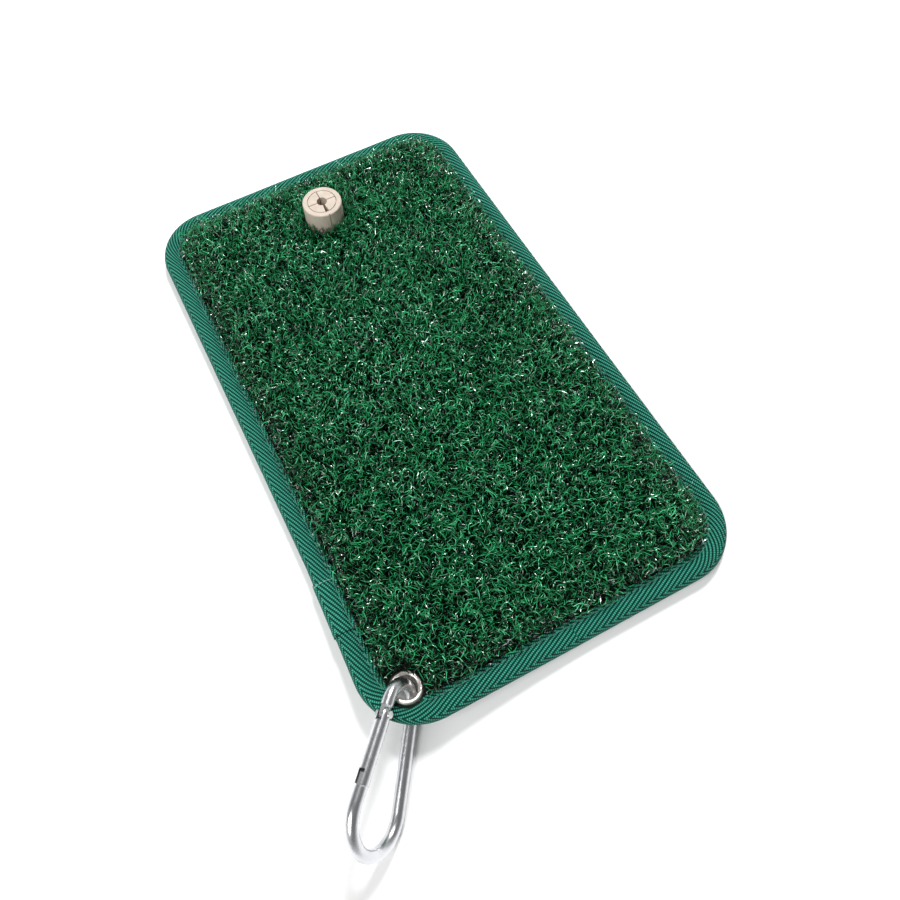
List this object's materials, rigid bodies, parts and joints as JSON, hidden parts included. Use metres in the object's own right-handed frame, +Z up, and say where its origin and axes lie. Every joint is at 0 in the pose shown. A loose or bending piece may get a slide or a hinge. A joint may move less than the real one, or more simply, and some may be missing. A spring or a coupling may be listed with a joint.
{
  "type": "golf hitting mat",
  "caption": "Small practice hitting mat: short green turf on a foam pad with a taped edge, a rubber tee holder near the far edge and a carabiner in a corner eyelet.",
  "frame": {"origin": "middle of the mat's underside, on the floor", "axes": "+Y along the mat towards the tee holder's end, +X to the right seen from the near end, +Z up out of the turf"},
  "size_m": [0.1843, 0.2998, 0.0266],
  "materials": {
    "foam": "matt closed-cell foam",
    "backing": "woven, latex coated",
    "turf": "curled polyethylene blades",
    "binding": "herringbone twill tape",
    "thread": "sewing thread",
    "eyelet": "bright nickel plate",
    "holder": "matt, pale beige",
    "carabiner": "satin",
    "rivet": "satin",
    "spring": "drawn wire"
  },
  "bodies": {
    "mat": {"foam_pad": "foam", "turf_backing": "backing", "turf_pile": "turf", "edge_binding": "binding", "binding_lap": "binding", "needle_thread": "thread", "bobbin_thread": "thread", "eyelet_body": "eyelet", "eyelet_washer": "eyelet", "tee_holder": "holder", "tee_plug": "holder"},
    "carabiner": {"carabiner_body": "carabiner"},
    "gate": {"carabiner_gate": "carabiner", "gate_rivet": "rivet", "spring_plunger": "rivet", "gate_spring": "spring"}
  },
  "joints": [
    {"name": "carabiner_swing", "type": "hinge", "parent": "mat", "child": "carabiner", "pos_m": [-0.0654, -0.1195, 0.00898], "axis": [0, 0, 1], "range_deg": [-30, 0]},
    {"name": "gate_open", "type": "hinge", "parent": "carabiner", "child": "gate", "pos_m": [-0.07598, -0.12436, 0.018], "axis": [0.6814, -0.5083, 0.5266], "range_deg": [0, 28], "stiffness_Nm_per_rad": 0.02, "springref_deg": -20.05}
  ]
}
